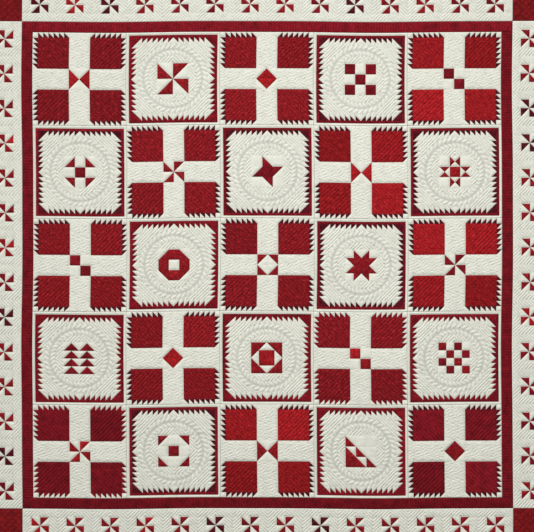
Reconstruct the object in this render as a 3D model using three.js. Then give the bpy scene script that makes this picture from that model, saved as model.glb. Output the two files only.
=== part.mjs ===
// A square pieced and quilted bed cover in red and cream cotton, lying flat with its face up.
// Twenty-five square blocks are sewn into a field, framed by a narrow strip, a wide border with
// corner squares, and a folded binding. Wadding stands up between the seams and stitch lines.
// Millimetres, +Z up, X across, Y along the length. The origin is the middle of the underside.
import * as THREE from "three";

// Driving sizes
const inch = 25.4;
const blockSide = 15 * inch;
const blocksInRow = 5;
const stripWidth = 1.75 * inch;
const borderWidth = 5.5 * inch;
const bindingWidth = 0.375 * inch;

// The sandwich of face, wadding and back: thin where it is stitched down, thick between
const stitchedThickness = 3;
const fullLoft = 3.4;

// Stitching gathers the cloth a little more along the length than across the width
const lengthAfterQuilting = 0.993;

// Every piece stops short of its seam line by half of this
const seamGap = 0.3;

// Seams wander from straight by a few millimetres, in one long wave and one short one
const wander = [
  { sway: 2.2, wave: 1150, start: 0.6 },
  { sway: 0.6, wave: 520, start: 2.1 },
];
const wanderOffset = 300;

const halfField = (blocksInRow * blockSide) / 2;
const halfStrip = halfField + stripWidth;
const halfBorder = halfStrip + borderWidth;

const cottons = {
  cream: { color: 0xdbddce, roughness: 0.92, metalness: 0 },
  crimson: { color: 0x8c1a22, roughness: 0.88, metalness: 0 },
  wine: { color: 0x73161c, roughness: 0.88, metalness: 0 },
};

function cotton(name) {
  return new THREE.MeshStandardMaterial(cottons[name]);
}

// How far a straight line has wandered at a distance along it
function swayAt(distance) {
  const turn = 2 * Math.PI;
  return wander.reduce(
    (sum, w) => sum + w.sway * Math.sin((turn * distance) / w.wave + w.start),
    0,
  );
}

// Where a point of the flat cut comes to lie in the finished quilt
function lieDown(x, y) {
  return [
    x + swayAt(y),
    (y + swayAt(x + wanderOffset)) * lengthAfterQuilting,
  ];
}

// Lines that cross a piece, each with a share of full loft, from units of its own to millimetres.
// The two outer lines are drawn in from the seam.
function placeLines(lines, start, unit) {
  const placed = lines.map(({ at, puff }) => ({ at: start + at * unit, puff }));
  placed[0].at += seamGap / 2;
  placed[placed.length - 1].at -= seamGap / 2;
  return placed;
}

// A flat-bottomed quilted piece. Loft stands highest where a full column crosses a full row, and
// is nothing on every line whose puff is zero.
function quiltedPiece(name, columns, rows, cloth) {
  const points = [];
  const faces = [];
  const wide = columns.length;
  const long = rows.length;
  const top = (c, r) => r * wide + c;
  const puffAt = (c, r) => columns[c].puff * rows[r].puff;

  rows.forEach((row, r) =>
    columns.forEach((column, c) => {
      const height = stitchedThickness + fullLoft * puffAt(c, r);
      points.push(...lieDown(column.at, row.at), height);
    }),
  );

  // Each rectangle folds along the diagonal that meets its highest corner
  for (let r = 0; r < long - 1; r++) {
    for (let c = 0; c < wide - 1; c++) {
      const near = top(c, r);
      const right = top(c + 1, r);
      const far = top(c + 1, r + 1);
      const left = top(c, r + 1);
      const rising = puffAt(c, r) + puffAt(c + 1, r + 1);
      const falling = puffAt(c + 1, r) + puffAt(c, r + 1);
      if (rising >= falling) {
        faces.push(near, right, far, near, far, left);
      } else {
        faces.push(near, right, left, right, far, left);
      }
    }
  }

  // The rim runs anticlockwise round the top, and each of its points has one below it
  const rim = [];
  for (let c = 0; c < wide - 1; c++) rim.push([c, 0]);
  for (let r = 0; r < long - 1; r++) rim.push([wide - 1, r]);
  for (let c = wide - 1; c > 0; c--) rim.push([c, long - 1]);
  for (let r = long - 1; r > 0; r--) rim.push([0, r]);
  const firstBelow = wide * long;
  rim.forEach(([c, r]) =>
    points.push(...lieDown(columns[c].at, rows[r].at), 0),
  );
  const middle = firstBelow + rim.length;
  const middleX = (columns[0].at + columns[wide - 1].at) / 2;
  const middleY = (rows[0].at + rows[long - 1].at) / 2;
  points.push(...lieDown(middleX, middleY), 0);

  rim.forEach(([c, r], i) => {
    const next = (i + 1) % rim.length;
    const above = top(c, r);
    const nextAbove = top(...rim[next]);
    const below = firstBelow + i;
    const nextBelow = firstBelow + next;
    faces.push(below, nextBelow, nextAbove, below, nextAbove, above);
    faces.push(middle, nextBelow, below);
  });
  return namedMesh(name, points, faces, cloth);
}

function namedMesh(name, points, faces, cloth) {
  const geometry = new THREE.BufferGeometry();
  geometry.setAttribute(
    "position",
    new THREE.Float32BufferAttribute(points, 3),
  );
  geometry.setIndex(faces);
  geometry.computeVertexNormals();
  const mesh = new THREE.Mesh(geometry, cotton(cloth));
  mesh.name = name;
  return mesh;
}

const quilt = new THREE.Group();

// Blocks. A block is eighteen units wide, and both kinds have the same layout both ways.
const unitsInBlock = 18;
const blockUnit = blockSide / unitsInBlock;

// Claw triangles, pad, cross strip, pad and claws
const pawLines = [
  { at: 0, puff: 0 },
  { at: 0.5, puff: 0.35 },
  { at: 1, puff: 0 },
  { at: 4, puff: 1 },
  { at: 7, puff: 0 },
  { at: 9, puff: 0.8 },
  { at: 11, puff: 0 },
  { at: 14, puff: 1 },
  { at: 17, puff: 0 },
  { at: 17.5, puff: 0.35 },
  { at: 18, puff: 0 },
];

// Margin with its toothed frame, open ground, centre patch, open ground and frame
const frameLines = [
  { at: 0, puff: 0 },
  { at: 1, puff: 0.35 },
  { at: 2, puff: 0 },
  { at: 4, puff: 0.9 },
  { at: 6, puff: 0 },
  { at: 9, puff: 1 },
  { at: 12, puff: 0 },
  { at: 14, puff: 0.9 },
  { at: 16, puff: 0 },
  { at: 17, puff: 0.35 },
  { at: 18, puff: 0 },
];

// Row 1 is at the head of the quilt, column 1 at its left, and the two kinds take turns
for (let row = 1; row <= blocksInRow; row++) {
  for (let column = 1; column <= blocksInRow; column++) {
    const isPaw = (row + column) % 2 === 0;
    const lines = isPaw ? pawLines : frameLines;
    const left = -halfField + (column - 1) * blockSide;
    const near = halfField - row * blockSide;
    quilt.add(
      quiltedPiece(
        `block_${row}_${column}`,
        placeLines(lines, left, blockUnit),
        placeLines(lines, near, blockUnit),
        isPaw ? "crimson" : "cream",
      ),
    );
  }
}

// Narrow strips. Two run the height of the field, and two run across them at head and foot.
const swellsInStrip = 13;

function swells(count) {
  const lines = [];
  for (let half = 0; half <= 2 * count; half++) {
    lines.push({ at: half / 2, puff: half % 2 });
  }
  return lines;
}

function strip(name, alongX, start, length, side) {
  const lengthwise = placeLines(
    swells(swellsInStrip),
    start,
    length / swellsInStrip,
  );
  const crosswise = placeLines(swells(1), side, stripWidth);
  const columns = alongX ? lengthwise : crosswise;
  const rows = alongX ? crosswise : lengthwise;
  return quiltedPiece(name, columns, rows, "wine");
}

quilt.add(
  strip("strip_left", false, -halfField, 2 * halfField, -halfStrip),
  strip("strip_right", false, -halfField, 2 * halfField, halfField),
  strip("strip_head", true, -halfStrip, 2 * halfStrip, halfField),
  strip("strip_foot", true, -halfStrip, 2 * halfStrip, -halfStrip),
);

// Wide border. Each length holds a row of small pieced squares, half as wide as the border and
// set in its middle, with open ground between them.
const motifsInBorder = 14;
const motifSide = borderWidth / 2;
const motifPitch = (2 * halfStrip) / motifsInBorder;

function borderLines() {
  const lines = [{ at: 0, puff: 0 }];
  for (let motif = 0; motif < motifsInBorder; motif++) {
    const centre = (motif + 0.5) * motifPitch;
    lines.push({ at: centre - motifSide / 2, puff: 0 });
    lines.push({ at: centre, puff: 1 });
    lines.push({ at: centre + motifSide / 2, puff: 0 });
    lines.push({ at: (motif + 1) * motifPitch, puff: 0.8 });
  }
  lines[lines.length - 1].puff = 0;
  return lines;
}

const acrossBorder = [
  { at: 0, puff: 0 },
  { at: 0.25, puff: 0 },
  { at: 0.5, puff: 1 },
  { at: 0.75, puff: 0 },
  { at: 1, puff: 0 },
];

function border(name, alongX, side) {
  const lengthwise = placeLines(borderLines(), -halfStrip, 1);
  const crosswise = placeLines(acrossBorder, side, borderWidth);
  const columns = alongX ? lengthwise : crosswise;
  const rows = alongX ? crosswise : lengthwise;
  return quiltedPiece(name, columns, rows, "cream");
}

quilt.add(
  border("border_left", false, -halfBorder),
  border("border_right", false, halfStrip),
  border("border_head", true, halfStrip),
  border("border_foot", true, -halfBorder),
);

// Corner squares
function cornerSquare(name, left, near) {
  const lines = swells(2);
  const unit = borderWidth / 2;
  return quiltedPiece(
    name,
    placeLines(lines, left, unit),
    placeLines(lines, near, unit),
    "crimson",
  );
}

quilt.add(
  cornerSquare("corner_head_left", -halfBorder, halfStrip),
  cornerSquare("corner_head_right", halfStrip, halfStrip),
  cornerSquare("corner_foot_left", -halfBorder, -halfBorder),
  cornerSquare("corner_foot_right", halfStrip, -halfBorder),
);

// Binding. A folded strip over the raw edge, full outside and low where it is sewn down, cut at
// forty-five degrees at each corner. Its section goes from the seam outward.
const bindingSection = [
  { out: 0, up: 0 },
  { out: 0.86, up: 0 },
  { out: 1, up: 1.6 },
  { out: 0.86, up: 3.9 },
  { out: 0.45, up: 4.8 },
  { out: 0, up: 3.4 },
];
const stepsInBinding = 24;

// place turns a distance along the side and a distance out from the middle into X and Y
function binding(name, place) {
  const points = [];
  const faces = [];
  const ring = bindingSection.length;
  for (let step = 0; step <= stepsInBinding; step++) {
    const share = (2 * step) / stepsInBinding - 1;
    for (const { out, up } of bindingSection) {
      const away =
        halfBorder + seamGap / 2 + out * (bindingWidth - seamGap / 2);
      const along = share * (away - seamGap);
      points.push(...lieDown(...place(along, away)), up);
    }
  }
  for (let step = 0; step < stepsInBinding; step++) {
    for (let i = 0; i < ring; i++) {
      const next = (i + 1) % ring;
      const here = step * ring;
      const there = here + ring;
      faces.push(here + i, here + next, there + next);
      faces.push(here + i, there + next, there + i);
    }
  }
  const last = stepsInBinding * ring;
  for (let i = 1; i < ring - 1; i++) {
    faces.push(0, i + 1, i);
    faces.push(last, last + i, last + i + 1);
  }
  return namedMesh(name, points, faces, "wine");
}

quilt.add(
  binding("binding_foot", (along, away) => [-along, -away]),
  binding("binding_right", (along, away) => [away, -along]),
  binding("binding_head", (along, away) => [along, away]),
  binding("binding_left", (along, away) => [-away, along]),
);

export default quilt;
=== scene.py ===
import bpy
import numpy as np
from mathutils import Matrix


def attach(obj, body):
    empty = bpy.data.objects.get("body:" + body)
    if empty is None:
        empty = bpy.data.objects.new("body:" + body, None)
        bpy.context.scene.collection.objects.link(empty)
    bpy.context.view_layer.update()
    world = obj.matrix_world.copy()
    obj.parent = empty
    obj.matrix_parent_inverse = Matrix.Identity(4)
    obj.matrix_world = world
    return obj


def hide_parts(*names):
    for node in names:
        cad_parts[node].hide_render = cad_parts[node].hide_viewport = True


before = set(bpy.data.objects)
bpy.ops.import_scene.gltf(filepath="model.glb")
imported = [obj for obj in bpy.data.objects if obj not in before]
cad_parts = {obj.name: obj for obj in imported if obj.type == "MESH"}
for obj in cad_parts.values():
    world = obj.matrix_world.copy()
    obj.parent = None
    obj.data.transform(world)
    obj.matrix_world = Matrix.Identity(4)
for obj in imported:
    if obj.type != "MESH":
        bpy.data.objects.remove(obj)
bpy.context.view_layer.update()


# Paw blocks. Thirteen squares of the field, pieced by machine from printed quilting cottons: a pad
# at each corner edged with small claw triangles, and a cream cross between. Face, wadding and back
# are stitched through together, so every patch stands up between its seams and its stitch lines.
block_side = 0.381
blocks_in_row = 5
units_in_block = 18
cells_in_unit = 6
cells_in_block = units_in_block * cells_in_unit
half_field = block_side * blocks_in_row / 2
seam_gap = 0.0002
stitched_thickness = 0.003
loft = 0.0031
ditch_width = 0.0045
rim_width = 0.0025
crinkle_height = 0.00006
# Shares of loft: of lumps in the wadding, of the face at a piece's rim, and of a shallow ditch
lump_share = 0.07
rim_share = 0.55
shallow_ditch_share = 0.35
# Seams wander in two waves. Each has its sway, its length and where it starts
wandering = [(0.0022, 1.15, 0.6), (0.0006, 0.52, 2.1)]
wandering_offset = 0.3
length_after_quilting = 0.993
chooser = np.random.default_rng(1876)
crinkles = np.random.default_rng(61)


def strayed(distance):
    """How far a straight seam has wandered, at a distance along it."""
    return sum(
        sway * np.sin(2 * np.pi * distance / wave + start) for sway, wave, start in wandering
    )


def lie_down(x, y):
    """Where a point of the flat cut comes to lie in the finished quilt."""
    return x + strayed(y), (y + strayed(x + wandering_offset)) * length_after_quilting


def add_node(tree, kind, plugs, output=0, **settings):
    """One output of a new shader node, with its settings made and its inputs linked or filled."""
    made = tree.nodes.new(kind)
    for setting, value in settings.items():
        setattr(made, setting, value)
    for plug, value in plugs.items():
        if isinstance(value, bpy.types.NodeSocket):
            tree.links.new(value, made.inputs[plug])
        else:
            made.inputs[plug].default_value = value
    return made.outputs[output]


def reckon(tree, operation, *values):
    """A sum done on numbers."""
    return add_node(tree, "ShaderNodeMath", dict(enumerate(values)), operation=operation)


def spread(tree, value, low, high, to_low, to_high):
    """A number taken smoothly from one range to another."""
    ranges = {0: value, 1: low, 2: high, 3: to_low, 4: to_high}
    return add_node(tree, "ShaderNodeMapRange", ranges, interpolation_type="SMOOTHSTEP")


def blend_colours(tree, share, under, over, way="MIX"):
    """The colour of one layer of a print over another."""
    layers = {0: share, 6: under, 7: over}
    return add_node(tree, "ShaderNodeMix", layers, 2, data_type="RGBA", blend_type=way)


def noise(tree, place, size, detail, roughness=0.55):
    """Cloudy variation with clouds of that size in metres."""
    settings = {"Vector": place, "Scale": 1 / size, "Detail": detail, "Roughness": roughness}
    return add_node(tree, "ShaderNodeTexNoise", settings, "Fac")


def dye(red, green, blue):
    """A colour as a dyer's card gives it, 0 to 255, in the linear light that shaders use."""
    shares = np.array([red, green, blue]) / 255
    linear = np.where(shares <= 0.04045, shares / 12.92, ((shares + 0.055) / 1.055) ** 2.4)
    return (*linear.tolist(), 1.0)


def woven_relief(tree, place, crest):
    """Puckers drawn up beside the stitching, and then the weave of the threads."""
    pucker_size = 0.0062
    pucker_height = 0.003
    gathered = spread(tree, crest, 0, 0.7, 0.4, 0.25)
    pucker = reckon(tree, "MULTIPLY", noise(tree, place, pucker_size, 3.0, 0.65), gathered)
    drawn_up = add_node(
        tree, "ShaderNodeBump", {"Strength": 0.9, "Distance": pucker_height, "Height": pucker}
    )
    # A wave texture has about three bands in its own size, so the threads lie 0.9 mm apart
    three_threads = 0.0028
    thread_height = 0.00012
    threads = [
        add_node(
            tree,
            "ShaderNodeTexWave",
            {"Vector": place, "Scale": 1 / three_threads, "Distortion": 0.6, "Detail": 1.0},
            "Fac",
            bands_direction=way,
        )
        for way in ("X", "Y")
    ]
    weave = {
        "Strength": 0.35,
        "Distance": thread_height,
        "Height": reckon(tree, "ADD", *threads),
        "Normal": drawn_up,
    }
    return add_node(tree, "ShaderNodeBump", weave)


def printed_cotton(name, dyes, mottle_size, sprig_size, sprig_share, lots, flecks):
    """Quilting cotton: a mottled ground, a small sprig print, lint with painted glints, flecks,
    puckers, painted shade in seams and stitch lines, and weave. dyes are its darkest, usual and
    brightest colours. lots and flecks are shares of light."""
    cotton = bpy.data.materials.new(f"printed_{name}")
    cotton.use_nodes = True
    tree = cotton.node_tree
    shade, usual, bright = dyes
    tone, seam, crest = (
        add_node(tree, "ShaderNodeAttribute", {}, "Fac", attribute_name=which)
        for which in ("tone", "seam", "crest")
    )
    flat_place = add_node(tree, "ShaderNodeAttribute", {}, "Vector", attribute_name="cut")
    # Each patch is cut from another place on the bolt
    reach_on_bolt = (3.7, 5.1, 0.0)
    place = add_node(
        tree,
        "ShaderNodeVectorMath",
        {0: tone, 1: reach_on_bolt, 2: flat_place},
        operation="MULTIPLY_ADD",
    )

    mottle = noise(tree, place, mottle_size, 4.0, 0.62)
    colour = blend_colours(tree, spread(tree, mottle, 0.34, 0.52, 0, 1), dye(*shade), dye(*usual))
    colour = blend_colours(tree, spread(tree, mottle, 0.52, 0.72, 0, 1), colour, dye(*bright))
    sprig = add_node(
        tree,
        "ShaderNodeTexVoronoi",
        {"Vector": place, "Scale": 1 / sprig_size, "Randomness": 0.7},
        "Distance",
    )
    printed = spread(tree, sprig, 0.16, 0.3, sprig_share, 0)
    colour = blend_colours(tree, printed, colour, dye(*bright))
    # Lint and pale thread ends, with painted glints on the threads, more of them in some places
    lint_and_glint_size = 0.0055
    lint_and_glints = spread(tree, noise(tree, place, lint_and_glint_size, 3.0, 0.7), 0.5, 0.68, 0, 0.065)
    colour = blend_colours(tree, lint_and_glints, colour, dye(*[(value + 255) / 2 for value in bright]))

    # Flecks, the lot of each patch (on the strips, painted light), and painted shade in seams and
    # stitch lines
    fleck_size = 0.0046
    for share in (
        spread(tree, noise(tree, place, fleck_size, 2.0), 0.38, 0.62, *flecks),
        spread(tree, tone, 0, 1, *lots),
        spread(tree, seam, 0, 1, 0.88, 1),
        spread(tree, crest, 0, 0.75, 0.76, 1),
    ):
        colour = blend_colours(tree, 1.0, colour, share, "MULTIPLY")

    shader = tree.nodes["Principled BSDF"]
    tree.links.new(colour, shader.inputs["Base Color"])
    tree.links.new(spread(tree, mottle, 0.3, 0.7, 0.94, 0.84), shader.inputs["Roughness"])
    tree.links.new(woven_relief(tree, place, crest), shader.inputs["Normal"])
    shader.inputs["Specular IOR Level"].default_value = 0.06
    shader.inputs["Sheen Weight"].default_value = 0.03
    shader.inputs["Sheen Roughness"].default_value = 0.6
    return cotton


# One cream, two plain reds, a scarlet that differs most from lot to lot, and two darker reds
cottons = {
    "cream": printed_cotton(
        "cream",
        dyes=((221, 222, 208), (229, 230, 216), (235, 236, 224)),
        mottle_size=0.030,
        sprig_size=0.011,
        sprig_share=0.50,
        lots=(0.985, 1.01),
        flecks=(0.94, 1.04),
    ),
    "crimson": printed_cotton(
        "crimson",
        dyes=((112, 12, 21), (132, 19, 27), (170, 36, 42)),
        mottle_size=0.014,
        sprig_size=0.009,
        sprig_share=0.20,
        lots=(0.88, 1.06),
        flecks=(0.66, 1.34),
    ),
    "turkey": printed_cotton(
        "turkey",
        dyes=((118, 13, 22), (138, 20, 27), (176, 40, 45)),
        mottle_size=0.012,
        sprig_size=0.008,
        sprig_share=0.30,
        lots=(0.88, 1.06),
        flecks=(0.66, 1.34),
    ),
    "brick": printed_cotton(
        "brick",
        dyes=((136, 14, 22), (158, 23, 28), (184, 38, 41)),
        mottle_size=0.016,
        sprig_size=0.010,
        sprig_share=0.20,
        lots=(0.70, 1.14),
        flecks=(0.66, 1.34),
    ),
    "burgundy": printed_cotton(
        "burgundy",
        dyes=((62, 8, 20), (84, 11, 25), (108, 17, 32)),
        mottle_size=0.020,
        sprig_size=0.010,
        sprig_share=0.40,
        lots=(0.85, 1.10),
        flecks=(0.78, 1.22),
    ),
    "wine": printed_cotton(
        "wine",
        dyes=((100, 10, 21), (120, 14, 26), (138, 20, 31)),
        mottle_size=0.030,
        sprig_size=0.016,
        sprig_share=0.15,
        lots=(0.86, 1.24),
        flecks=(0.80, 1.20),
    ),
}


def square(x, y, wide, tall, cloth):
    """A square or rectangular patch. A patch is its corners on the grid, and its cloth."""
    return ([(x, y), (x + wide, y), (x + wide, y + tall), (x, y + tall)], cloth)


def split_square(x, y, side, corner, dark, light):
    """Two triangles sewn to a square. The dark one fills a corner, counted round from near left."""
    ring = [(x, y), (x + side, y), (x + side, y + side), (x, y + side)]
    ring = ring[corner:] + ring[:corner]
    return [([ring[3], ring[0], ring[1]], dark), ([ring[1], ring[2], ring[3]], light)]


def quartered_square(x, y, side, near_far, left_right):
    """Four triangles that meet in the middle of a square."""
    ring = [(x, y), (x + side, y), (x + side, y + side), (x, y + side)]
    middle = (x + side / 2, y + side / 2)
    return [
        ([ring[i], ring[(i + 1) % 4], middle], (near_far, left_right)[i % 2]) for i in range(4)
    ]


def chart_squares(chart, x, y, side, dark, light, second):
    """Patches from a chart, read from its far row down. 1 to 4 are squares split with the dark
    triangle near left, near right, far right and far left. h and v are quartered squares."""
    step = side / len(chart)
    patches = []
    for row, line in enumerate(reversed(chart)):
        for column, sign in enumerate(line):
            at = (x + column * step, y + row * step)
            if sign in "1234":
                patches += split_square(*at, step, int(sign) - 1, dark, light)
            elif sign in "hv":
                pair = (light, dark) if sign == "h" else (dark, light)
                patches += quartered_square(*at, step, *pair)
            else:
                patches.append(square(*at, step, step, {"#": dark, ".": light, "*": second}[sign]))
    return patches


def turned(patches, side):
    """The same patches a quarter turn on, in a square of that side."""
    return [([(side - y, x) for x, y in corners], cloth) for corners, cloth in patches]


def all_round(patches, side):
    """The patches at the near side, and turned to the other three."""
    found = list(patches)
    for _ in range(3):
        patches = turned(patches, side)
        found += patches
    return found


def anticlockwise(corners):
    """The corners of a patch in anticlockwise order, and the corner that follows each."""
    ring = np.array(corners, float)
    after = np.roll(ring, -1, axis=0)
    if np.sum(ring[:, 0] * after[:, 1] - ring[:, 1] * after[:, 0]) < 0:
        ring = ring[::-1]
        after = np.roll(ring, -1, axis=0)
    return ring, after


# The middles of the triangles that a cell's diagonals cut it into: near, right, far and left
quarter_x = np.array([0.5, 0.8, 0.5, 0.2])
quarter_y = np.array([0.2, 0.5, 0.8, 0.5])
hair = 1e-6
far_off = 1.0


def piece_together(patches, across, along):
    """Which patch each quarter of each cell belongs to, and how far each grid point is from a seam.
    across and along are where the grid lines lie in the flat cut, in metres."""
    columns, rows = len(across) - 1, len(along) - 1
    owner = np.full((rows, columns, 4), -1)
    to_seam = np.full((rows + 1, columns + 1), far_off)
    for number, (corners, _) in enumerate(patches):
        ring, after = anticlockwise(corners)
        left, near = np.floor(ring.min(axis=0) + hair).astype(int)
        right, far = np.ceil(ring.max(axis=0) - hair).astype(int)
        column, row = np.meshgrid(np.arange(left, right), np.arange(near, far))
        grid_x, grid_y = np.meshgrid(across[left : right + 1], along[near : far + 1])
        inside = np.ones((*column.shape, 4), bool)
        depth = np.full(grid_x.shape, far_off)
        for start, end in zip(ring, after):
            run, rise = end - start
            inside &= (
                run * (row[..., None] + quarter_y - start[1])
                > rise * (column[..., None] + quarter_x - start[0])
            )
            start_x, end_x = np.interp([start[0], end[0]], np.arange(columns + 1), across)
            start_y, end_y = np.interp([start[1], end[1]], np.arange(rows + 1), along)
            run, rise = end_x - start_x, end_y - start_y
            away = (run * (grid_y - start_y) - rise * (grid_x - start_x)) / np.hypot(run, rise)
            depth = np.minimum(depth, away)
        owner[near:far, left:right][inside] = number
        window = to_seam[near : far + 1, left : right + 1]
        depth = np.where(depth > -hair, np.maximum(depth, 0), far_off)
        window[:] = np.minimum(window, depth)
    return owner, to_seam


def away_from(marked, across, along):
    """How far each grid point is from the marked quarters of cells, up to a few cells away."""
    near, right, far, left = np.moveaxis(marked, -1, 0)
    touched = np.zeros((len(along), len(across)), bool)
    touched[:-1, :-1] |= near | left
    touched[:-1, 1:] |= near | right
    touched[1:, 1:] |= far | right
    touched[1:, :-1] |= far | left
    beside, ahead = across[2] - across[1], along[2] - along[1]
    distance = np.where(touched, 0, far_off)
    reach_in_cells = 8
    for _ in range(reach_in_cells):
        wide = np.pad(distance, 1, constant_values=far_off)
        for down, over in ((0, 1), (1, 0), (1, 1), (1, -1)):
            step = np.hypot(down * ahead, over * beside)
            for way in (1, -1):
                rows = slice(1 + way * down, len(along) + 1 + way * down)
                columns = slice(1 + way * over, len(across) + 1 + way * over)
                distance = np.minimum(distance, wide[rows, columns] + step)
    return distance


def face_height(flat_x, flat_y, open_cloth, between, depth):
    """How high the face stands, with wadding a little thicker in some places than in others, and
    cloth crinkled from washing. Every piece has the same height at its rim, to meet the next."""
    lumps = np.sin(19 * flat_x + 7 * flat_y) * np.sin(13 * flat_y - 11 * flat_x + 1)
    crown = (1 + lump_share * lumps) * open_cloth * (1 - depth + depth * between)
    crown += crinkle_height / loft * crinkles.normal(size=crown.shape).clip(-2, 2)
    from_sides = np.minimum(flat_x - flat_x.min(), flat_x.max() - flat_x)
    from_ends = np.minimum(flat_y - flat_y.min(), flat_y.max() - flat_y)
    at_rim = np.exp(-np.minimum(from_sides, from_ends) / rim_width)
    return stitched_thickness + loft * (crown * (1 - at_rim) + rim_share * at_rim)


def fold_cells(owner, height):
    """Two triangles to each cell of the grid, folded along its seam or else along its lower
    diagonal, and the patch that each triangle belongs to."""
    rows, columns = height.shape
    near_left = (np.arange(rows - 1)[:, None] * columns + np.arange(columns - 1)).ravel()
    near_right, far_left, far_right = near_left + 1, near_left + columns, near_left + columns + 1
    near, right, far, left = owner.reshape(-1, 4).T
    height = height.ravel()
    rising = np.abs(height[near_left] - height[far_right]) <= np.abs(
        height[near_right] - height[far_left]
    )
    rising[(near == left) & (near != right)] = False
    rising[(near == right) & (near != left)] = True
    first = np.column_stack([near_left, near_right, np.where(rising, far_right, far_left)])
    second = np.column_stack([np.where(rising, near_left, near_right), far_right, far_left])
    return np.vstack([first, second]), np.concatenate([near, far])


def walk_round(rows, columns):
    """The points of a grid's rim, anticlockwise from its near left corner."""
    return np.concatenate(
        [
            np.arange(columns - 1),
            np.arange(rows - 1) * columns + columns - 1,
            (rows - 1) * columns + np.arange(columns - 1, 0, -1),
            np.arange(rows - 1, 0, -1) * columns,
        ]
    )


def mark(mesh, which, kind, domain, values):
    """Give each point or face of a mesh a value for its cloth to read."""
    found = mesh.attributes.get(which) or mesh.attributes.new(which, kind, domain)
    found.data.foreach_set("vector" if kind == "FLOAT_VECTOR" else "value", np.ravel(values))


def close_slab(name, face, triangles, rim, middle):
    """A mesh of the face, with sides straight down from its rim to a hem, and an underside in one
    fan round the middle. The hem's points are given too, with the middle last."""
    hem = np.vstack([face[rim] * (1, 1, 0), (*middle, 0)])
    below = len(face) + np.arange(len(rim))
    after = np.roll(below, -1)
    sides = np.column_stack([below, after, np.roll(rim, -1), rim])
    under = np.column_stack([np.full(len(rim), len(face) + len(rim)), after, below])
    mesh = bpy.data.meshes.new(name)
    mesh.from_pydata(
        np.vstack([face, hem]).tolist(), [], [*triangles.tolist(), *sides.tolist(), *under.tolist()]
    )
    return mesh, hem


def quilted_piece(name, across, along, patches, quilting, tones=None):
    """One closed slab of the quilt, from its underside to its stitched face. quilting gives, at each
    grid point, 0 on a line of stitching and 1 midway between, and how deep the lines lie. tones,
    when given, says how light each patch is painted; else each patch's lot is chosen at random."""
    across, along = np.array(across), np.array(along)
    across[[0, -1]] += (seam_gap / 2, -seam_gap / 2)
    along[[0, -1]] += (seam_gap / 2, -seam_gap / 2)
    flat_x, flat_y = np.meshgrid(across, along)
    owner, to_seam = piece_together(patches, across, along)
    column, row = np.meshgrid(np.arange(len(across)), np.arange(len(along)))
    between, depth = quilting(column, row)

    # A seam is a deep ditch where red meets cream and a shallow one within a colour
    cream = np.array([cloth == "cream" for _, cloth in patches])[owner]
    to_change = np.maximum(away_from(cream, across, along), away_from(~cream, across, along))
    open_cloth = np.minimum(
        1 - np.exp(-to_change / ditch_width),
        1 - shallow_ditch_share * np.exp(-to_seam / ditch_width),
    )
    height = face_height(flat_x, flat_y, open_cloth, between, depth)
    triangles, patch_of = fold_cells(owner, height)
    lain_x, lain_y = lie_down(flat_x, flat_y)
    face = np.column_stack([lain_x.ravel(), lain_y.ravel(), height.ravel()])
    rim = walk_round(*height.shape)
    middle = lie_down((across[0] + across[-1]) / 2, (along[0] + along[-1]) / 2)
    mesh, hem = close_slab(name, face, triangles, rim, middle)

    # The sides are of the patches that they end, and the underside is a cream back of its own
    cloth_names = [cloth for _, cloth in patches] + ["cream"]
    cloths = sorted(set(cloth_names))
    for cloth in cloths:
        mesh.materials.append(cottons[cloth])
    cloth_of = np.array([cloths.index(cloth) for cloth in cloth_names])
    tone_of = np.append(tones if tones else chooser.random(len(patches)), 0.5)
    at_sides = [owner[0, :, 0], owner[:, -1, 1], owner[-1, ::-1, 2], owner[::-1, 0, 3]]
    patch_of = np.concatenate([patch_of, *at_sides, np.full(len(rim), len(patches))])
    flat = np.column_stack([flat_x.ravel(), flat_y.ravel(), np.zeros(flat_x.size)])
    off_the_face = (0, 0, 0.01)
    mark(mesh, "material_index", "INT", "FACE", cloth_of[patch_of])
    mark(mesh, "sharp_face", "BOOLEAN", "FACE", np.arange(len(patch_of)) >= len(triangles))
    mark(mesh, "tone", "FLOAT", "FACE", tone_of[patch_of])
    # seam and crest also give the cloth its painted shade, darkest in the seam ditches and stitch
    # lines
    mark(mesh, "seam", "FLOAT", "POINT", np.append(open_cloth, np.ones(len(hem))))
    mark(mesh, "crest", "FLOAT", "POINT", np.append(between, np.ones(len(hem))))
    mark(mesh, "cut", "FLOAT_VECTOR", "POINT", np.vstack([flat, hem + off_the_face]))
    mesh.update()
    return bpy.data.objects.new(name, mesh)


def sew_in(piece, node):
    """Put a piece in its solid's place, and hide the solid."""
    bpy.context.scene.collection.objects.link(piece)
    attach(piece, "root")
    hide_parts(node)


def on_grid(patches):
    """Patches drawn in a block's units, on its grid."""
    return [
        ([(x * cells_in_unit, y * cells_in_unit) for x, y in corners], cloth)
        for corners, cloth in patches
    ]


def place_of_block(row, column):
    """The grid lines of a block. Row 1 is at the head of the quilt and column 1 at its left."""
    steps = np.linspace(0, block_side, cells_in_block + 1)
    return -half_field + (column - 1) * block_side + steps, half_field - row * block_side + steps


# How deep the lines of quilting lie, as a share of loft
line_depth = 0.92
pad_line_depth = 0.8


def stitch_lines(steps, period):
    """0 on every line of a set that comes once in a period, and 1 midway between."""
    fullness = 0.8
    return np.abs(np.sin(np.pi * steps / period)) ** fullness


def paw_patches(pad, claw, centre, centre_chart):
    """A paw at the near left, turned to the other three corners, and the cross between them."""
    paw = [square(0, 0, 1, 1, "cream")]
    for i in range(1, 7):
        paw += split_square(i, 0, 1, 3, claw, "cream") + split_square(0, i, 1, 1, claw, "cream")
    paw.append(square(1, 1, 6, 6, pad))
    arm = square(7, 0, 4, 7, "cream")
    patches = all_round(paw, units_in_block) + all_round([arm], units_in_block)
    return patches + chart_squares(centre_chart, 7, 7, 4, centre, "cream", pad)


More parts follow.
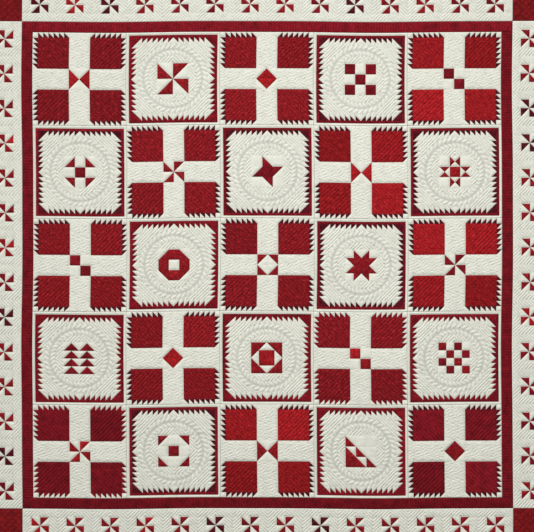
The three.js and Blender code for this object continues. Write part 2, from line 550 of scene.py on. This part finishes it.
def paw_quilting(column, row):
    """Parallel lines over each pad, and wavy filling along the arms of the cross."""
    u, v = column / cells_in_unit - 9, row / cells_in_unit - 9
    wide, tall = np.abs(u), np.abs(v)
    in_centre = (wide <= 2) & (tall <= 2)
    in_arms = ((wide < 2) | (tall < 2)) & ~in_centre
    in_pad = (np.abs(wide - 5) <= 3) & (np.abs(tall - 5) <= 3)
    lines = stitch_lines(cells_in_unit * (wide - tall), 5)
    # The filling is rows about half a unit apart, each swaying in a long wave and a short one
    waves = 0.18 * np.sin(u * 3.9 + 1.6 * np.sin(v * 1.7)) + 0.08 * np.sin(u * 7.1 + v * 2.3)
    filling = stitch_lines(v + waves, 0.52)
    between = np.select([in_arms, in_pad], [filling, lines], 1.0)
    return between, np.where(in_arms, line_depth, pad_line_depth)


centre_charts = [["21", "34"], ["14", "23"], ["#.", ".#"], ["h"], ["#43#", "4..3", "1..2", "#12#"]]
# The pads of the paw blocks in each row, from the head down, brightest up the right side
pad_reds = [
    ["crimson", "turkey", "brick"],
    ["crimson", "brick"],
    ["turkey", "crimson", "brick"],
    ["turkey", "crimson"],
    ["wine", "brick", "wine"],
]
body_reds = ["crimson", "turkey", "wine", "brick"]
dark_reds = ["burgundy", "wine", "burgundy"]
for row in range(1, blocks_in_row + 1):
    for column in range(1, blocks_in_row + 1):
        if (row + column) % 2:
            continue
        pad, claw = pad_reds[row - 1][(column - 1) // 2], chooser.choice(dark_reds)
        centre = chooser.choice(body_reds)
        chart = centre_charts[(2 * row + column) % len(centre_charts)]
        patches = on_grid(paw_patches(pad, claw, centre, chart))
        name = f"paw_block_{row}_{column}"
        block = quilted_piece(name, *place_of_block(row, column), patches, paw_quilting)
        sew_in(block, f"block_{row}_{column}")


# Frame blocks. The other twelve squares of the field: a narrow red frame with sawtooth triangles
# round open cream ground, and a common pieced square in the middle, different in each block. A
# feather wreath is quilted round the middle, over ground filled with parallel lines.
frame_charts = {
    "pinwheel": ["14", "23"],
    "nine_patch": ["#.#", ".*.", "#.#"],
    "shoo_fly": ["2.1", ".*.", "3.4"],
    "friendship_star": [".1.", "2*4", ".3."],
    "quartered_star": [".h.", "v*v", ".h."],
    "wheel": ["2#1", "#.#", "3#4"],
    "sawtooth_star": [".12.", "3##4", "2##1", ".43."],
    "flying_geese": ["2121", "2121", "2121", "2121"],
    "square_in_square": ["#43#", "4**3", "1**2", "#12#"],
    "checkerboard": ["#.*.", ".#.*", "*.#.", ".*.#"],
    "cut_corners": ["4.3", ".*.", "1.2"],
    "flying_flock": ["1..", "11.", "*11"],
}
# The wreath, in units of a block
wreath_radius = 5.65
wreath_half_width = 1.2
feathers_in_wreath = 40
feather_slant = 0.8
scallop = 0.25
vein_width = 0.4
tip_width = 0.3
feather_depth = 0.8


def mirrored(patches, side):
    """The same patches seen in a mirror, in a square of that side."""
    return [([(side - x, y) for x, y in corners], cloth) for corners, cloth in patches]


def frame_patches(tooth, centre, second, chart):
    """Margin, narrow frame, teeth that lean away from the middle of each side, open ground and
    middle square."""
    teeth = [patch for i in range(2, 9) for patch in split_square(i, 1, 1, 0, tooth, "cream")]
    side = [
        square(0, 0, 17.5, 0.5, "cream"),
        square(0.5, 0.5, 16.5, 0.5, "wine"),
        square(1, 1, 1, 1, tooth),
        *teeth,
        *mirrored(teeth, units_in_block),
        square(2, 2, 4, 4, "cream"),
        square(6, 2, 6, 4, "cream"),
    ]
    patches = all_round(side, units_in_block)
    return patches + chart_squares(chart, 6, 6, 6, centre, "cream", second)


def frame_quilting(column, row):
    """A feather wreath in the open ground, with parallel lines behind it."""
    u, v = column / cells_in_unit - 9, row / cells_in_unit - 9
    wide, tall = np.abs(u), np.abs(v)
    from_spine = np.abs(np.hypot(u, v) - wreath_radius)
    lobe = feathers_in_wreath * np.arctan2(v, u) / (2 * np.pi) + feather_slant * from_spine
    swell = np.abs(np.sin(np.pi * lobe))
    to_edge = wreath_half_width - scallop * (1 - swell) - from_spine
    from_vein = np.clip(from_spine / vein_width, 0, 1)
    plume = swell**0.9 * from_vein * np.clip(to_edge / tip_width, 0, 1)
    plain = (np.maximum(wide, tall) <= 3) | (np.maximum(wide, tall) >= 7)
    lines = stitch_lines(cells_in_unit * (wide + tall), 4)
    between = np.select([plain, to_edge > 0], [1.0, plume], lines)
    return between, np.where(to_edge > 0, feather_depth, line_depth)


charts_left = list(frame_charts.values())
for row in range(1, blocks_in_row + 1):
    for column in range(1, blocks_in_row + 1):
        if (row + column) % 2 == 0:
            continue
        centre, second = chooser.choice(body_reds, 2)
        tooth = chooser.choice(dark_reds)
        patches = on_grid(frame_patches(tooth, centre, second, charts_left.pop(0)))
        name = f"frame_block_{row}_{column}"
        block = quilted_piece(name, *place_of_block(row, column), patches, frame_quilting)
        sew_in(block, f"block_{row}_{column}")


# Narrow strips. Four lengths of plain dark red cotton frame the field: two run its height, and two
# run across them at head and foot. Each strip is given a painted share of light, lightest at the
# head and darkest at the foot. Close ribs are quilted across every strip.
strip_width = 0.04445
half_strip = half_field + strip_width
across_strip = np.linspace(0, strip_width, 13)
swells_in_strip = 13
rib_depth = 0.55


def strip_quilting(column, row):
    """Ribs every three cells across a strip, on long low swells."""
    step = row if row.max() > column.max() else column
    swell = 0.82 + 0.18 * np.sin(np.pi * swells_in_strip * step / step.max()) ** 2
    return swell * stitch_lines(step, 3), rib_depth


# Each strip's name, whether it runs up a side, half its length, its near line, cells and painted
# light
for name, upright, half_length, side, cells, tone in (
    ("strip_left", True, half_field, -half_strip, 519, 0.4),
    ("strip_right", True, half_field, half_field, 519, 0.35),
    ("strip_head", False, half_strip, half_field, 543, 0.9),
    ("strip_foot", False, half_strip, -half_strip, 543, 0.05),
):
    lines = (side + across_strip, np.linspace(-half_length, half_length, cells + 1))
    across, along = lines if upright else lines[::-1]
    patch = square(0, 0, len(across) - 1, len(along) - 1, "wine")
    strip = quilted_piece(f"quilted_{name}", across, along, [patch], strip_quilting, [tone])
    sew_in(strip, name)


# Wide border. Four lengths of cream cotton carry a row of small red pinwheels, fourteen to a side,
# between plain bands. Parallel lines are quilted over the cream and change lean at each pinwheel.
border_width = 0.1397
half_border = half_strip + border_width
pinwheels_in_border = 14
cells_in_pitch = 40
cells_in_pinwheel = 20
band_cells = 10
across_border = np.linspace(0, border_width, 2 * band_cells + cells_in_pinwheel + 1)
along_border = np.linspace(-half_strip, half_strip, pinwheels_in_border * cells_in_pitch + 1)


def border_patches():
    """A border length as it lies along the foot: plain band, squares in turn, plain band."""
    cells = pinwheels_in_border * cells_in_pitch
    far_band = band_cells + cells_in_pinwheel
    patches = [square(0, y, cells, band_cells, "cream") for y in (0, far_band)]
    for start in range(0, cells, cells_in_pitch):
        red = chooser.choice([*body_reds, "burgundy"])
        patches += [
            square(start + x, band_cells, band_cells, cells_in_pinwheel, "cream")
            for x in (0, far_band)
        ]
        patches += chart_squares(
            ["14", "23"], start + band_cells, band_cells, cells_in_pinwheel, red, "cream", red
        )
    return patches


def border_quilting(column, row):
    """Slanting lines over the cream, mirrored about each pinwheel, which is left to stand up."""
    step, out = (row, column) if row.max() > column.max() else (column, row)
    from_centre = np.abs(step % cells_in_pitch - cells_in_pitch // 2)
    from_middle = np.abs(out - out.max() // 2)
    on_pinwheel = np.maximum(from_centre, from_middle) <= cells_in_pinwheel // 2
    return np.where(on_pinwheel, 1.0, stitch_lines(from_centre + out, 4)), line_depth


for name, upright, side in (
    ("border_left", True, -half_border),
    ("border_right", True, half_strip),
    ("border_head", False, half_strip),
    ("border_foot", False, -half_border),
):
    patches = border_patches()
    lines = (along_border, side + across_border)
    if upright:
        patches = [([(y, x) for x, y in corners], cloth) for corners, cloth in patches]
        lines = lines[::-1]
    border = quilted_piece(f"quilted_{name}", *lines, patches, border_quilting)
    sew_in(border, name)


# Corner squares. Four plain squares of mottled dark red cotton, one at each corner, join the border
# lengths. They are quilted in a grid of crossed lines.
cottons["garnet"] = printed_cotton(
    "garnet",
    dyes=((104, 14, 18), (124, 18, 22), (143, 25, 27)),
    mottle_size=0.024,
    sprig_size=0.012,
    sprig_share=0.20,
    lots=(0.96, 1.04),
    flecks=(0.80, 1.20),
)


cells_between_crossings = 8
crossed_line_depth = 0.5


def corner_quilting(column, row):
    """Two sets of slanting lines that cross."""
    rising = np.sin(np.pi * (column - row) / cells_between_crossings)
    falling = np.sin(np.pi * (column + row) / cells_between_crossings)
    return np.minimum(1, 1.3 * np.abs(falling * rising)), crossed_line_depth


for name, left, near in (
    ("corner_head_left", -half_border, half_strip),
    ("corner_head_right", half_strip, half_strip),
    ("corner_foot_left", -half_border, -half_border),
    ("corner_foot_right", half_strip, -half_border),
):
    cells = len(across_border) - 1
    patch = square(0, 0, cells, cells, "garnet")
    lines = (left + across_border, near + across_border)
    corner = quilted_piece(f"quilted_{name}", *lines, [patch], corner_quilting)
    sew_in(corner, name)


# Binding. A folded strip of dark red cotton is sewn to the face along each raw edge, turned over
# it and sewn down behind, so that it stands full at the outside. Its ends meet in mitres.
binding_width = 0.009525
binding_steps = 420
binding_section = [
    (0, 0), (0.84, 0), (0.95, 0.0005), (1, 0.0016), (0.98, 0.0028),
    (0.86, 0.0039), (0.66, 0.0046), (0.42, 0.0048), (0.18, 0.0043), (0, 0.0031),
]
# 0 where the binding meets the quilt, where the cloth paints shade
openness_round_section = [0, 1, 1, 1, 1, 1, 1, 1, 0.8, 0.1]


def binding(name, place):
    """place turns a distance along the side and one out from the middle into x and y."""
    out, up = np.array(binding_section).T[:, None, :]
    away = half_border + seam_gap + out * (binding_width - seam_gap)
    run = np.linspace(-1, 1, binding_steps + 1)[:, None] * (away - seam_gap)
    # The hem stitches draw the fold in, more of it in some places
    ripple = 1 + 0.05 * np.sin(run / 0.0031) * np.sin(run / 0.047)
    x, y = lie_down(*place(run, away + 0 * run))
    points = np.column_stack([x.ravel(), y.ravel(), (up * ripple).ravel()])
    ring = len(binding_section)
    start = np.arange(binding_steps)[:, None] * ring
    here = (start + np.arange(ring)).ravel()
    beside = (start + (np.arange(ring) + 1) % ring).ravel()
    faces = np.column_stack([here, beside, beside + ring, here + ring]).tolist()
    last = binding_steps * ring
    faces += [list(range(ring - 1, -1, -1)), list(range(last, last + ring))]
    mesh = bpy.data.meshes.new(name)
    mesh.from_pydata(points.tolist(), [], faces)
    mesh.materials.append(cottons["wine"])
    flat = np.column_stack([run.ravel(), (away + up + 0 * run).ravel(), np.zeros(run.size)])
    mark(mesh, "tone", "FLOAT", "FACE", np.full(len(faces), chooser.random()))
    mark(mesh, "seam", "FLOAT", "POINT", np.tile(openness_round_section, binding_steps + 1))
    mark(mesh, "crest", "FLOAT", "POINT", np.ones(len(points)))
    mark(mesh, "cut", "FLOAT_VECTOR", "POINT", flat)
    mesh.update()
    return bpy.data.objects.new(name, mesh)


for name, place in (
    ("binding_foot", lambda run, away: (-run, -away)),
    ("binding_right", lambda run, away: (away, -run)),
    ("binding_head", lambda run, away: (run, away)),
    ("binding_left", lambda run, away: (-away, run)),
):
    edge = binding(f"folded_{name}", place)
    sew_in(edge, name)


# Floor, light and camera. A plain pale floor lies under the quilt. A soft key light rakes across it
# from the head, a broad lamp hangs over its head end, and a pale surround fills the shadows. The
# camera looks straight down, as the photograph does, and frames less than the whole width.
floor_reach = 14
below_quilt = -0.0005
floor_corners = [
    (x * floor_reach, y * floor_reach, 0) for x, y in ((-1, -1), (1, -1), (1, 1), (-1, 1))
]
floor_mesh = bpy.data.meshes.new("floor")
floor_mesh.from_pydata(floor_corners, [], [(0, 1, 2, 3)])
floor_paint = bpy.data.materials.new("pale_floor")
floor_paint.use_nodes = True
floor_shader = floor_paint.node_tree.nodes["Principled BSDF"]
floor_shader.inputs["Base Color"].default_value = dye(236, 236, 233)
floor_shader.inputs["Roughness"].default_value = 0.85
floor_mesh.materials.append(floor_paint)
floor = bpy.data.objects.new("floor", floor_mesh)
floor.location = (0, 0, below_quilt)
bpy.context.scene.collection.objects.link(floor)

surround = bpy.data.worlds.new("studio")
surround.use_nodes = True
surround.node_tree.nodes["Background"].inputs["Color"].default_value = (1.0, 0.99, 0.97, 1.0)
surround.node_tree.nodes["Background"].inputs["Strength"].default_value = 0.1
bpy.context.scene.world = surround

key_lean = 0.995
key_bearing = -1.2
key_light = bpy.data.lights.new("key_light", "SUN")
key_light.energy = 3.05
key_light.angle = 0.14
key = bpy.data.objects.new("key_light", key_light)
key.rotation_euler = (0, -key_lean, key_bearing)
bpy.context.scene.collection.objects.link(key)

broad_lamp = bpy.data.lights.new("broad_lamp", "AREA")
broad_lamp.energy = 44
broad_lamp.size = 1.0
overhead = bpy.data.objects.new("broad_lamp", broad_lamp)
overhead.location = (0.1, 0.9, 3.2)
bpy.context.scene.collection.objects.link(overhead)

framed_width = 2.170
quilt_top = 0.005
camera_data = bpy.data.cameras.new("camera")
camera_data.lens = 85
camera_data.sensor_width = 36
camera_height = quilt_top + framed_width * camera_data.lens / camera_data.sensor_width
camera = bpy.data.objects.new("camera", camera_data)
camera.location = (-0.0012, -0.0037, camera_height)
bpy.context.scene.collection.objects.link(camera)
bpy.context.scene.camera = camera
bpy.context.scene.view_settings.view_transform = "Standard"
